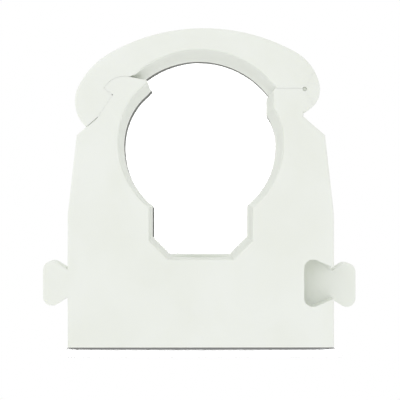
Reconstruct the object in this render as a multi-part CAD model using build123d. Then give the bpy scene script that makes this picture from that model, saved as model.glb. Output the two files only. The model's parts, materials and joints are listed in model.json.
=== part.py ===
from build123d import *
import os
from math import acos, atan2, cos, degrees, hypot, radians, sin, sqrt

# Hinged clip for a 15 mm pipe: a saddle on a screw base, closed by a strap on a living hinge.
# The real clip is one polypropylene moulding, divided here only at its living hinge, so the strap can swing.
# Millimetres, +Z up from the wall face, +X to the hinge side, front face at -Y, origin under the screw hole.
# Profiles are drawn in front view, with the pipe's axis along the depth.

# Pipe and overall sizes
pipe_diameter = 15.0
pipe_play = 0.275
saddle_height = 11.525
clip_depth = 14.0

# Moulded edges: rounded front and back edges, and the blunt tips of the arms and the claw
edge_radius = 0.2
tip_flat = 0.16

# Body outside the pipe, with sides that lean in above the base
shoulder_wall = 3.92
base_flare = 0.85
straight_side = 12.5
shoulder_rise = 0.7
shoulder_in = 2.04
shoulder_up = 1.76

# Arms that lean in from the saddle to grip the pipe; angles are above the pipe's axis
grip_lean = 0.21
latch_grip_angle = 10.0
latch_lip_angle = 44.0
latch_lip_slope = 5.0
latch_lip_step = 0.07
latch_tip_lean = 0.155
latch_arm_angle = 49.8
hinge_grip_angle = 3.0
hinge_facet_lean = 0.935
hinge_arm_angle = 41.0

# Strap, whose outside is a chain of tangent arcs: nose, shoulder, crown, shoulder, nose
strap_headroom = 0.95
strap_drop = 0.25
strap_offset = -0.1
strap_thickness = 2.05
crown_rise = 10.125
crown_offset = 0.26
hinge_shoulder_radius = 4.76
hinge_nose_radius = 2.26
hinge_nose_in = 0.69
hinge_nose_drop = 0.1
hinge_nose_start = -90.0
latch_shoulder_radius = 7.18
latch_nose_radius = 3.23
latch_nose_out = 1.45
latch_nose_drop = 0.15
latch_nose_stop = 255.0

# Snap latch: a hook head outside the latch arm's tip, held by a claw on the strap
seam_gap = 0.02
hook_radius = 2.23
hook_out = 2.267
hook_drop = 1.82
hook_lip_angle = 151.0
undercut = 0.85
undercut_drop = 0.57
barb_relief = 0.1
mouth_length = 1.5
mouth_flare = 0.55

# Living hinge between its relief hole and the outside; its fold fills the hole but for the ends
web_thickness = 1.25
web_half_angle = 62.0
hinge_relief = 0.21
hinge_relief_drop = 0.06
fold_inset = 0.25

# Recess for the screw's head, and the screw hole
recess_width = 9.7
recess_depth = 3.2
recess_chamfer = 1.75
screw_hole = 4.6
screw_lead_in = 0.4

# Dovetail keys and sockets on the sides, in a front row and a rear row, which join clips side by side
front_row_height = 6.05
rear_row_height = 5.72
key_neck = 2.68
key_head = 4.23
key_length = 2.33
key_corner = 0.85
key_clearance = 0.12
key_end_room = 0.5
front_layer = 3.0
hinge_key_depth = 3.0

# Core slots in the underside
core_wall = 1.6
core_width = 2.9
core_height = 6.2
core_corner = 0.8


def polar(centre, radius, angle):
    """Point at an angle in degrees round a centre."""
    return (centre[0] + radius * cos(radians(angle)), centre[1] + radius * sin(radians(angle)))


def apart(start, end):
    return hypot(end[0] - start[0], end[1] - start[1])


def bearing(start, end):
    """Direction from one point to another, in degrees from 0 to 360."""
    return degrees(atan2(end[1] - start[1], end[0] - start[0])) % 360


def touch_angle(centre, radius, point, side):
    """Angle on a circle where a straight line from a point touches it, on one side or the other."""
    return bearing(centre, point) + side * degrees(acos(radius / apart(centre, point)))


# Places worked out from the sizes, in front view where they are points
front = -clip_depth / 2
back = clip_depth / 2
bore_radius = pipe_diameter / 2 + pipe_play
grip_radius = bore_radius - grip_lean
pipe_height = saddle_height + bore_radius
axis = (0, pipe_height)
shoulder_half = bore_radius + shoulder_wall
base_half = shoulder_half + base_flare
shoulder_z = pipe_height + shoulder_rise
neck_x = shoulder_half - shoulder_in
neck_z = shoulder_z + shoulder_up
recess_half = recess_width / 2
recess_floor = saddle_height - recess_depth
recess_top = pipe_height - sqrt(bore_radius**2 - recess_half**2)
latch_tip = polar(axis, bore_radius - latch_tip_lean, 180 - latch_arm_angle)
hook_head = (latch_tip[0] - hook_out, latch_tip[1] - hook_drop)
hook_start_angle = touch_angle(hook_head, hook_radius, latch_tip, 1)
hook_start = polar(hook_head, hook_radius, hook_start_angle)
hook_lip = polar(hook_head, hook_radius, hook_lip_angle)
undercut_root = (hook_lip[0] + undercut, hook_lip[1] - undercut_drop)
hinge_z = pipe_height + bore_radius * sin(radians(hinge_arm_angle))
facet_x = bore_radius - hinge_facet_lean
hinge_tip = (facet_x, hinge_z)
hinge_nose = (neck_x - hinge_nose_in, hinge_z - hinge_nose_drop)
latch_nose = (hook_head[0] - latch_nose_out, hook_head[1] - latch_nose_drop)
relief = (hinge_nose[0] + hinge_nose_radius - web_thickness - hinge_relief, hinge_z - hinge_relief_drop)
strap_centre = (strap_offset, pipe_height - strap_drop)
strap_inner = bore_radius + strap_headroom + strap_drop
crown_radius = bore_radius + crown_rise
crown_top = pipe_height + bore_radius + strap_headroom + strap_thickness
crown = (crown_offset, crown_top - crown_radius)

# Side faces where the interlocks sit, and the depths where they change from key to socket
hinge_side = Pos(base_half, 0)
latch_side = Pos(-base_half, 0)
front_row = Pos(0, front_row_height)
rear_row = Pos(0, rear_row_height)
inward = Rot(0, 0, 180)
hinge_split = front + front_layer
latch_split = hinge_split - key_clearance

# Radii of the strap's exposed outline, and the tolerance for finding edges and corners by place
nose_radii = (hinge_nose_radius, latch_nose_radius)
shoulder_radii = (hinge_shoulder_radius, latch_shoulder_radius)
strap_radii = (*nose_radii, *shoulder_radii, crown_radius, strap_inner)
tiny = 0.01


def arc(centre, radius, start, end):
    return CenterArc(centre, radius, start, end - start)


def face_of(*curves):
    edges = [edge for curve in curves for edge in curve.edges()]
    return make_face(Wire.combine(edges)[0])


def blunt_corners(face, *places):
    """Cuts a flat on the corners of a profile that lie at the given places."""
    corners = [v for v in face.vertices() if any(apart((v.X, v.Y), p) < tiny for p in places)]
    return chamfer(corners, tip_flat)


def joining_centre(nose, nose_radius, radius, side):
    """Centre of the shoulder arc that touches the crown from inside and the nose from outside."""
    to_crown = crown_radius - radius
    to_nose = radius - nose_radius
    span = apart(crown, nose)
    turn = degrees(acos((to_crown**2 - to_nose**2 + span**2) / (2 * span * to_crown)))
    return polar(crown, to_crown, bearing(crown, nose) + side * turn)


def cap_profile():
    """Everything under the strap's outside, down to the pipe's axis."""
    hinge_shoulder = joining_centre(hinge_nose, hinge_nose_radius, hinge_shoulder_radius, 1)
    latch_shoulder = joining_centre(latch_nose, latch_nose_radius, latch_shoulder_radius, -1)
    hinge_nose_end = bearing(hinge_shoulder, hinge_nose)
    crown_start = bearing(crown, hinge_shoulder)
    crown_end = bearing(crown, latch_shoulder)
    latch_shoulder_turn = bearing(latch_shoulder, latch_nose)
    first = arc(hinge_nose, hinge_nose_radius, hinge_nose_start, hinge_nose_end)
    last = arc(latch_nose, latch_nose_radius, latch_shoulder_turn, latch_nose_stop)
    return face_of(
        first,
        arc(hinge_shoulder, hinge_shoulder_radius, hinge_nose_end, crown_start),
        arc(crown, crown_radius, crown_start, crown_end),
        arc(latch_shoulder, latch_shoulder_radius, crown_end, latch_shoulder_turn),
        last,
        Polyline(last @ 1, axis, first @ 0),
    )


def pipe_opening():
    """Saddle, gripping arms and screw recess, open at the top between the arms."""
    floor_half = recess_half - recess_chamfer
    chamfer_z = recess_floor + recess_chamfer
    corner_angle = degrees(acos(recess_half / bore_radius))
    latch_side = arc(axis, bore_radius, 180 - latch_grip_angle, 180 + corner_angle)
    hinge_side = arc(axis, bore_radius, -corner_angle, hinge_grip_angle)
    recess = Polyline(
        (-recess_half, recess_top),
        (-recess_half, chamfer_z),
        (-floor_half, recess_floor),
        (floor_half, recess_floor),
        (recess_half, chamfer_z),
        (recess_half, recess_top),
    )
    facet_foot = (facet_x, pipe_height + sqrt(grip_radius**2 - facet_x**2))
    hinge_grip = TangentArc(hinge_side @ 1, facet_foot, tangent=hinge_side % 1)
    lip_top = polar(axis, grip_radius, 180 - latch_lip_angle)
    lip_root = polar(axis, grip_radius + latch_lip_step, 180 - latch_lip_angle + latch_lip_slope)
    latch_grip = TangentArc(latch_side @ 0, lip_root, tangent=-(latch_side % 0))
    above = ((facet_x, crown_top), (latch_tip[0], crown_top))
    mouth = Polyline(facet_foot, *above, latch_tip, lip_top, lip_root)
    return face_of(latch_side, recess, hinge_side, hinge_grip, mouth, latch_grip)


def latch_arm():
    """Top of the arm, its rounded hook head, and the undercut behind the lip."""
    top = Line(latch_tip, hook_start)
    head = arc(hook_head, hook_radius, hook_start_angle, hook_lip_angle)
    below = Polyline(hook_lip, undercut_root, (-neck_x, neck_z), (-neck_x, pipe_height), axis, latch_tip)
    return face_of(top, head, below)


def body_profile(cap):
    block = Polygon(
        (-base_half, 0),
        (base_half, 0),
        (base_half, straight_side),
        (shoulder_half, shoulder_z),
        (neck_x, neck_z),
        (-neck_x, neck_z),
        (-shoulder_half, shoulder_z),
        (-base_half, straight_side),
        align=None,
    )
    hinge_arm = Polygon(axis, (neck_x, pipe_height), (neck_x, hinge_z), (0, hinge_z), align=None)
    ear_room = Polygon(
        (facet_x, pipe_height),
        (base_half, pipe_height),
        (base_half, hinge_z),
        (facet_x, hinge_z),
        align=None,
    )
    profile = block + hinge_arm + (cap & ear_room) + latch_arm() - pipe_opening()
    return blunt_corners(profile, latch_tip, hinge_tip)


def strap_profile(cap, body):
    """Cap cleared of the body by the seam, with room for the barb and a mouth that widens to the pipe."""
    mouth_x = hook_start[0] + mouth_length
    mouth_z = hook_start[1] + seam_gap
    mouth = Polygon(
        (hook_start[0], mouth_z),
        (mouth_x, mouth_z - mouth_length),
        (mouth_x, mouth_z + mouth_flare),
        align=None,
    )
    pipe_room = Pos(*strap_centre) * Circle(strap_inner)
    barb_room = Pos(*undercut_root) * Circle(barb_relief)
    profile = cap - offset(body, seam_gap, kind=Kind.ARC) - mouth - pipe_room - barb_room
    claw_tip = profile.vertices().sort_by(Axis.Y)[0]
    return blunt_corners(profile, (claw_tip.X, claw_tip.Y))


def web_profile(cap):
    """Wedge of the nose that bends, from the outside in to its fold in the relief hole."""
    reach = 2 * hinge_nose_radius
    ends = [polar(relief, reach, angle) for angle in (-web_half_angle, 0, web_half_angle)]
    fold = Pos(*relief) * Circle(hinge_relief - seam_gap)
    return (cap & Polygon(relief, *ends, align=None)) + fold


def prism(profile, near=front, far=back):
    """Solid of a front-view profile between two depths."""
    return extrude(Plane((0, far, 0), x_dir=(1, 0, 0), z_dir=(0, -1, 0)) * profile, far - near)


def dovetail(neck, head, length):
    """Outline that widens from a neck on the side face to a rounded head along +X."""
    neck_top = (0, neck / 2)
    corner = (length - key_corner, head / 2 - key_corner)
    rounding = arc(corner, key_corner, 0, touch_angle(corner, key_corner, neck_top, -1))
    half = face_of(rounding, Polyline(rounding @ 1, neck_top, (0, 0), (length, 0), rounding @ 0))
    return half + mirror(half, Plane.XZ)


def add_keys(body):
    """A key in the front layer of the latch side, and one behind that layer on the hinge side."""
    key = dovetail(key_neck, key_head, key_length)
    body += prism(front_row * latch_side * inward * key, front, latch_split)
    return body + prism(rear_row * hinge_side * key, hinge_split, hinge_split + hinge_key_depth)


def cut_sockets(body):
    """Beside each key in the depth, room for the next clip's key."""
    neck_room = key_neck + 2 * key_clearance
    head_room = key_head + 2 * key_clearance
    socket = dovetail(neck_room, head_room, key_length + key_end_room)
    body -= prism(rear_row * latch_side * socket, latch_split, back)
    return body - prism(front_row * hinge_side * inward * socket, front, hinge_split)


def cut_screw_hole(body):
    radius = screw_hole / 2
    upright = (Align.CENTER, Align.CENTER, Align.MIN)
    hole = Cylinder(radius, recess_floor, align=upright)
    lead_in = Cone(radius, radius + screw_lead_in, screw_lead_in, align=upright)
    return body - hole - Pos(0, 0, recess_floor - screw_lead_in) * lead_in


def cut_core_slots(body):
    """Slots in the underside that keep the base's walls even."""
    place = base_half - key_length - key_end_room - core_wall - core_width / 2
    slot = extrude(RectangleRounded(core_width, clip_depth - 2 * core_wall, core_corner), core_height)
    return body - Pos(place, 0, 0) * slot - Pos(-place, 0, 0) * slot


def face_edges(solid):
    """Edges of the front and back faces."""
    faces = solid.faces().sort_by(Axis.Y)
    return faces[0].edges() + faces[-1].edges()


def on_seam(edge):
    """Whether an edge of the body is at an arm's tip, or faces the strap or the web."""
    middle = edge @ 0.5
    place = (middle.X, middle.Z)
    outside_pipe = apart(axis, place) > bore_radius + tiny
    latch = middle.X < latch_tip[0] and middle.Z > neck_z + tiny and outside_pipe
    tip = min(apart(latch_tip, place), apart(hinge_tip, place)) < tip_flat
    slit = middle.X > facet_x + tiny and abs(middle.Z - hinge_z) < tiny
    return latch or tip or slit or apart(relief, place) < web_thickness


def on_outline(edge):
    """Whether an edge of the strap or the web is on the strap's outside or inside."""
    if edge.geom_type != GeomType.CIRCLE:
        return False
    round_hook = apart(hook_head, (edge.arc_center.X, edge.arc_center.Z)) < tiny
    return not round_hook and min(abs(edge.radius - r) for r in strap_radii) < tiny


def make_clip():
    cap = cap_profile()
    body = body_profile(cap)
    strap = strap_profile(cap, body)
    web = web_profile(cap)
    hole = Pos(*relief) * Circle(hinge_relief)
    body_solid = add_keys(prism(body - web - hole))
    strap_solid = prism(strap - web - hole)
    web_solid = prism(web) - prism(hole, front, front + fold_inset) - prism(hole, back - fold_inset, back)
    body_solid = fillet([e for e in face_edges(body_solid) if not on_seam(e)], edge_radius)
    return {
        "clip_body": cut_core_slots(cut_screw_hole(cut_sockets(body_solid))),
        "strap": fillet([e for e in face_edges(strap_solid) if on_outline(e)], edge_radius),
        "hinge_web": fillet([e for e in face_edges(web_solid) if on_outline(e)], edge_radius),
    }


if __name__ == "__main__":
    os.makedirs("parts", exist_ok=True)
    for name, solid in make_clip().items():
        export_step(solid, f"parts/{name}.step")
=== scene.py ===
import json
import math

import bpy
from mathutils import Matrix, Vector
from mathutils.bvhtree import BVHTree


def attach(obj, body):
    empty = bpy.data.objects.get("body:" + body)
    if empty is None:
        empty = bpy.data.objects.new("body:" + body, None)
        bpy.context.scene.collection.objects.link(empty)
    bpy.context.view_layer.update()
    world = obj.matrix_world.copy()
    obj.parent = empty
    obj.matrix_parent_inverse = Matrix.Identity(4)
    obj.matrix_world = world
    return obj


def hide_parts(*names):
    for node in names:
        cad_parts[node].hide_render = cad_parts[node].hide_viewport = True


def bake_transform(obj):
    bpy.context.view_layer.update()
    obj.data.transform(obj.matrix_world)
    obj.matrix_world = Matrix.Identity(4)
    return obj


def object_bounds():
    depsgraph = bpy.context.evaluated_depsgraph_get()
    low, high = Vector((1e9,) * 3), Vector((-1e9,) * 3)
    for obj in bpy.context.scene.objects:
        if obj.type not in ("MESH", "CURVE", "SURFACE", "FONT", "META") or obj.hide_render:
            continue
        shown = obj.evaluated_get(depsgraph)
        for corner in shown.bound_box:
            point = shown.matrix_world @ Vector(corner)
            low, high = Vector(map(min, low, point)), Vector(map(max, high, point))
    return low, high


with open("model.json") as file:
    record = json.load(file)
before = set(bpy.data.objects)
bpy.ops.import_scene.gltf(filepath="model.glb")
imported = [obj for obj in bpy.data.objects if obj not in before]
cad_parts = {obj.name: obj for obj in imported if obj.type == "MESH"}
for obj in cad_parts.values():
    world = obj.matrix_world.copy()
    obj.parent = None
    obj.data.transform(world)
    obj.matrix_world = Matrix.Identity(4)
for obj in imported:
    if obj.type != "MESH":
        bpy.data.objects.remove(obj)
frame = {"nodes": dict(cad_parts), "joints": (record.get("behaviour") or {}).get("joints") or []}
cad_low, cad_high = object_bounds()

MM = 0.001

# Mesh copies: points nearer than this are merged, and edges gentler than this are shaded smooth
MERGE = 0.001 * MM
SMOOTH_ANGLE = math.radians(40)
FLAT_FIRST = 100

# How far the strap's seam faces look for the body's and move up to them, and how much further the claw's
# foot, below this height, moves to lie tight on the arm
SEAM_REACH = 0.03 * MM
SEAM_CLOSE = 0.01 * MM
FOOT_CLOSE = 0.007 * MM
FOOT_HEIGHT = 23.8 * MM

# Where the strap turns, and how far above and below that the hinge web bends
HINGE = Vector(frame["joints"][0]["pos_m"])
WEB_BEND = 0.185 * MM
WEB_CUTS = 9

# Camera: almost square to the front face, a little to the left of the point it looks at and above it
FRONT_FRAME = 37.62 * MM
AIM = Vector((-0.09 * MM, cad_low.y, 13.9 * MM))
CAMERA_FROM_AIM = Vector((-1.1, -147, 0.8)) * MM
SENSOR = 36.0
CLIP_START = 10 * MM
CLIP_END = 10.0

# Floor, with half the size of its patch that shows the base's shadow, and the round card behind the opening
FLOOR_SIZE = 4.0
SHADOW_HALF = Vector((12.55, 15, 100)) * MM
CARD_RADIUS = 10.9 * MM
CARD_HEIGHT = 18.6 * MM
STAGE_GAP = 0.02 * MM
STAGE_GREY = "#8C8C8C"
WHITE = "#FFFFFF"

# Lamps: place and size in millimetres, and power in watts
SOFTBOX = ((-140, -420, 160), 180, 0.14)
FLOOR_LAMP = ((0, 100, 1500), 90, 100)
LATCH_CARD_LAMP = ((-21.5, -1500, 41.5), 6, 120)
HINGE_CARD_LAMP = ((2, -1500, 43), 6, 120)

# Soft light from all round: the floor's glow, and the fill on its dim side and on its bright side
FLOOR_GLOW = 1.0
BRIGHT_SIDE = Vector((-0.5, 0.75, 0.05)).normalized()
FILL_LOW = 0.815
FILL_HIGH = 1.125


def linear(colour):
    """An sRGB hex colour as linear RGBA."""
    channels = [int(colour[i:i + 2], 16) / 255 for i in (1, 3, 5)]
    return [c / 12.92 if c <= 0.04045 else ((c + 0.055) / 1.055) ** 2.4 for c in channels] + [1.0]


def node(tree, kind, inputs, **settings):
    """Adds a node with its settings; an input is a value or another node's output."""
    made = tree.nodes.new(kind)
    for name, value in settings.items():
        setattr(made, name, value)
    for socket, value in inputs.items():
        if isinstance(value, bpy.types.NodeSocket):
            tree.links.new(value, made.inputs[socket])
        else:
            made.inputs[socket].default_value = value
    return made


def new_material(name):
    """An empty node material and its tree."""
    material = bpy.data.materials.new(name)
    material.use_nodes = True
    material.node_tree.nodes.clear()
    return material, material.node_tree


def moulded_polypropylene():
    """White polypropylene, injection moulded in a spark-eroded tool: a satin skin that is a little
    milky, with slow streaks where the melt flowed, faint sinks and a very fine even grain."""
    flow_size = 7 * MM
    sink_size = 4 * MM
    sink_depth = 0.03 * MM
    # The tool's grain is about 0.04 mm; it is drawn five times as coarse so that it shows
    grain_size = 0.2 * MM
    grain_depth = 0.006 * MM
    milk_depth = 0.4 * MM
    flow_low, flow_high = 0.3, 0.7
    material, tree = new_material("moulded_white_polypropylene")
    place = node(tree, "ShaderNodeTexCoord", {}).outputs["Object"]
    flow = node(tree, "ShaderNodeTexNoise", {
        "Vector": place, "Scale": 1 / flow_size, "Detail": 3.0, "Distortion": 0.6}).outputs["Fac"]
    sink = node(tree, "ShaderNodeTexNoise", {
        "Vector": place, "Scale": 1 / sink_size, "Detail": 1.0}).outputs["Fac"]
    grain = node(tree, "ShaderNodeTexNoise", {
        "Vector": place, "Scale": 1 / grain_size, "Detail": 2.0}).outputs["Fac"]
    tint = node(tree, "ShaderNodeValToRGB", {"Fac": flow})
    tint.color_ramp.elements[0].position = flow_low
    tint.color_ramp.elements[0].color = linear("#E9ECE4")
    tint.color_ramp.elements[1].position = flow_high
    tint.color_ramp.elements[1].color = linear("#EDF0EA")
    satin = node(tree, "ShaderNodeMapRange", {
        "Value": flow, "From Min": flow_low, "From Max": flow_high, "To Min": 0.36, "To Max": 0.46})
    hollows = node(tree, "ShaderNodeBump", {"Height": sink, "Strength": 0.35, "Distance": sink_depth})
    skin = node(tree, "ShaderNodeBump", {
        "Height": grain, "Strength": 0.25, "Distance": grain_depth, "Normal": hollows.outputs["Normal"]})
    plastic = node(tree, "ShaderNodeBsdfPrincipled", {
        "Base Color": tint.outputs["Color"], "Roughness": satin.outputs["Result"], "IOR": 1.49,
        "Subsurface Weight": 0.1, "Subsurface Radius": (1.0, 1.0, 0.85), "Subsurface Scale": milk_depth,
        "Normal": skin.outputs["Normal"]})
    node(tree, "ShaderNodeOutputMaterial", {"Surface": plastic.outputs["BSDF"]})
    return material


def deselect_all():
    bpy.ops.object.select_all(action="DESELECT")


def merged_copy(name, cad_node):
    """A copy of a CAD node's mesh with its loose triangles joined, left selected and active."""
    deselect_all()
    source = frame["nodes"][cad_node]
    piece = bpy.data.objects.new(name, source.data.copy())
    bpy.context.scene.collection.objects.link(piece)
    piece.data.materials.clear()
    piece.select_set(True)
    bpy.context.view_layer.objects.active = piece
    bpy.ops.object.mode_set(mode="EDIT")
    bpy.ops.mesh.select_all(action="SELECT")
    bpy.ops.mesh.remove_doubles(threshold=MERGE)
    bpy.ops.object.mode_set(mode="OBJECT")
    return piece


def shade(piece):
    """Smooth over the rounds; the large flat faces set the shading where they meet a round."""
    bpy.context.view_layer.objects.active = piece
    bpy.ops.mesh.customdata_custom_splitnormals_clear()
    bpy.ops.object.shade_smooth_by_angle(angle=SMOOTH_ANGLE)
    weigh = piece.modifiers.new("flat_faces_first", "WEIGHTED_NORMAL")
    weigh.keep_sharp = True
    weigh.weight = FLAT_FIRST
    bpy.ops.object.modifier_apply(modifier=weigh.name)


def close_seam(piece, cad_node, below, distance):
    """Brings the faces below a height that look at another node across the seam nearer to it."""
    other = frame["nodes"][cad_node].data
    facing = BVHTree.FromPolygons([v.co for v in other.vertices], [p.vertices for p in other.polygons])
    deselect_all()
    piece.select_set(True)
    bpy.context.view_layer.objects.active = piece
    bpy.ops.object.mode_set(mode="EDIT")
    bpy.ops.mesh.select_mode(type="FACE")
    bpy.ops.mesh.select_all(action="DESELECT")
    bpy.ops.object.mode_set(mode="OBJECT")
    for face in piece.data.polygons:
        met = facing.ray_cast(face.center, face.normal, SEAM_REACH)[0]
        face.select = met is not None and face.center.z < below
    bpy.ops.object.mode_set(mode="EDIT")
    bpy.ops.transform.shrink_fatten(value=distance)
    bpy.ops.object.mode_set(mode="OBJECT")


def rigid_piece(name, cad_node, body, plastic, seam_node=None):
    """The shaded copy that stands for a CAD node and moves with its body."""
    piece = merged_copy(name, cad_node)
    if seam_node:
        close_seam(piece, seam_node, cad_high.z, SEAM_CLOSE)
        close_seam(piece, seam_node, FOOT_HEIGHT, FOOT_CLOSE)
    shade(piece)
    piece.data.materials.append(plastic)
    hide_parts(cad_node)
    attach(piece, body)


def bending_web(plastic):
    """The living hinge: cut across into thin slices so that it can bend between body and strap."""
    piece = merged_copy("living_hinge", "hinge_web")
    for i in range(WEB_CUTS):
        level = -WEB_BEND + 2 * WEB_BEND * i / (WEB_CUTS - 1)
        bpy.ops.object.mode_set(mode="EDIT")
        bpy.ops.mesh.select_all(action="SELECT")
        bpy.ops.mesh.bisect(plane_co=HINGE + Vector((0, 0, level)), plane_no=(0, 0, 1))
        bpy.ops.object.mode_set(mode="OBJECT")
    shade(piece)
    piece.data.materials.append(plastic)
    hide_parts("hinge_web")
    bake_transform(piece)


def floor_material():
    """Matt grey paper that its own lamp lights up to white: the camera sees the base's shadow on it near
    the clip and plain white further off, and the clip sees an even glow."""
    material, tree = new_material("matt_grey_paper")
    paper = node(tree, "ShaderNodeBsdfDiffuse", {"Color": linear(STAGE_GREY)})
    white = node(tree, "ShaderNodeEmission", {"Color": linear(WHITE), "Strength": 1.0})
    glow = node(tree, "ShaderNodeEmission", {"Color": linear(WHITE), "Strength": FLOOR_GLOW})
    place = node(tree, "ShaderNodeTexCoord", {}).outputs["Object"]
    share = node(tree, "ShaderNodeVectorMath", {0: place, 1: SHADOW_HALF}, operation="DIVIDE")
    aside = node(tree, "ShaderNodeVectorMath", {0: share.outputs["Vector"]}, operation="ABSOLUTE")
    sides = node(tree, "ShaderNodeSeparateXYZ", {0: aside.outputs["Vector"]}).outputs
    furthest = node(tree, "ShaderNodeMath", {0: sides["X"], 1: sides["Y"]}, operation="MAXIMUM")
    beyond = node(tree, "ShaderNodeMath", {0: furthest.outputs[0], 1: 1.0}, operation="GREATER_THAN")
    sheet = node(tree, "ShaderNodeMixShader", {
        0: beyond.outputs[0], 1: paper.outputs["BSDF"], 2: white.outputs["Emission"]})
    ray = node(tree, "ShaderNodeLightPath", {}).outputs["Is Camera Ray"]
    seen = node(tree, "ShaderNodeMixShader", {
        0: ray, 1: glow.outputs["Emission"], 2: sheet.outputs["Shader"]})
    node(tree, "ShaderNodeOutputMaterial", {"Surface": seen.outputs["Shader"]})
    return material


def card_material():
    """Matt grey card that its own lamp lights up to white; it has one side, and isn't there from behind."""
    material, tree = new_material("matt_grey_card")
    card = node(tree, "ShaderNodeBsdfDiffuse", {"Color": linear(STAGE_GREY)})
    clear = node(tree, "ShaderNodeBsdfTransparent", {})
    behind = node(tree, "ShaderNodeNewGeometry", {}).outputs["Backfacing"]
    one_sided = node(tree, "ShaderNodeMixShader", {
        0: behind, 1: card.outputs["BSDF"], 2: clear.outputs["BSDF"]})
    node(tree, "ShaderNodeOutputMaterial", {"Surface": one_sided.outputs["Shader"]})
    return material


def make_floor():
    """The floor under the clip."""
    deselect_all()
    bpy.ops.mesh.primitive_plane_add(size=FLOOR_SIZE, location=(0, 0, cad_low.z - STAGE_GAP))
    floor = bpy.context.object
    floor.name = "floor"
    floor.data.materials.append(floor_material())
    return floor


def make_card(name, side, paper):
    """One half of the round card behind the clip's opening, which shows the opening's thin shadow."""
    deselect_all()
    bpy.ops.mesh.primitive_circle_add(
        radius=CARD_RADIUS, fill_type="NGON", location=(0, cad_high.y + STAGE_GAP, CARD_HEIGHT),
        rotation=(math.pi / 2, 0, 0))
    card = bpy.context.object
    card.name = name
    bpy.ops.object.mode_set(mode="EDIT")
    bpy.ops.mesh.bisect(plane_co=card.location, plane_no=(side, 0, 0), clear_inner=True)
    bpy.ops.object.mode_set(mode="OBJECT")
    card.data.materials.append(paper)
    card.visible_diffuse = False
    card.visible_glossy = False
    card.visible_transmission = False
    card.visible_shadow = False
    return card


def make_world():
    """White to the camera and in reflections; a soft fill on all else, stronger from behind and the left."""
    world = bpy.data.worlds.new("studio")
    bpy.context.scene.world = world
    world.use_nodes = True
    tree = world.node_tree
    tree.nodes.clear()
    ray = node(tree, "ShaderNodeLightPath", {}).outputs
    mirrored = node(tree, "ShaderNodeMath", {
        0: ray["Is Glossy Ray"], 1: ray["Is Transmission Ray"]}, operation="MAXIMUM")
    seen = node(tree, "ShaderNodeMath", {
        0: ray["Is Camera Ray"], 1: mirrored.outputs[0]}, operation="MAXIMUM")
    white = node(tree, "ShaderNodeBackground", {"Color": linear(WHITE), "Strength": 1.0})
    towards = node(tree, "ShaderNodeTexCoord", {}).outputs["Generated"]
    lean = node(tree, "ShaderNodeVectorMath", {0: towards, 1: BRIGHT_SIDE}, operation="DOT_PRODUCT")
    level = node(tree, "ShaderNodeMapRange", {
        "Value": lean.outputs["Value"], "From Min": -1.0, "From Max": 1.0,
        "To Min": FILL_LOW, "To Max": FILL_HIGH})
    fill = node(tree, "ShaderNodeBackground", {
        "Color": linear(WHITE), "Strength": level.outputs["Result"]})
    mix = node(tree, "ShaderNodeMixShader", {
        0: seen.outputs[0], 1: fill.outputs["Background"], 2: white.outputs["Background"]})
    node(tree, "ShaderNodeOutputWorld", {"Surface": mix.outputs["Shader"]})


def make_lamp(name, place_mm, size_mm, watts):
    """A square lamp that faces the middle of the clip."""
    lamp = bpy.data.lights.new(name, "AREA")
    lamp.shape = "SQUARE"
    lamp.size = size_mm * MM
    lamp.energy = watts
    made = bpy.data.objects.new(name, lamp)
    bpy.context.scene.collection.objects.link(made)
    made.location = Vector(place_mm) * MM
    made.rotation_euler = (AIM - made.location).to_track_quat("-Z", "Y").to_euler()
    return made


def light_only(lamp, thing):
    """Keeps a lamp's light to one thing; everything still casts its shadow there."""
    alone = bpy.data.collections.new(thing.name + "_only")
    alone.objects.link(thing)
    lamp.light_linking.receiver_collection = alone


def make_camera():
    """A camera whose picture is one front frame wide at the clip's front face."""
    camera = bpy.data.cameras.new("camera")
    camera.sensor_width = SENSOR
    camera.lens = SENSOR * CAMERA_FROM_AIM.length / FRONT_FRAME
    camera.clip_start = CLIP_START
    camera.clip_end = CLIP_END
    made = bpy.data.objects.new("camera", camera)
    bpy.context.scene.collection.objects.link(made)
    made.location = AIM + CAMERA_FROM_AIM
    made.rotation_euler = (-CAMERA_FROM_AIM).to_track_quat("-Z", "Y").to_euler()
    bpy.context.scene.camera = made


plastic = moulded_polypropylene()
rigid_piece("saddle", "clip_body", "clip", plastic)
rigid_piece("closing_strap", "strap", "strap", plastic, "clip_body")
bending_web(plastic)

make_world()
make_lamp("softbox", *SOFTBOX)
light_only(make_lamp("floor_lamp", *FLOOR_LAMP), make_floor())
grey_card = card_material()
light_only(make_lamp("latch_card_lamp", *LATCH_CARD_LAMP), make_card("latch_card", -1, grey_card))
light_only(make_lamp("hinge_card_lamp", *HINGE_CARD_LAMP), make_card("hinge_card", 1, grey_card))
make_camera()
bpy.context.scene.view_settings.view_transform = "Standard"
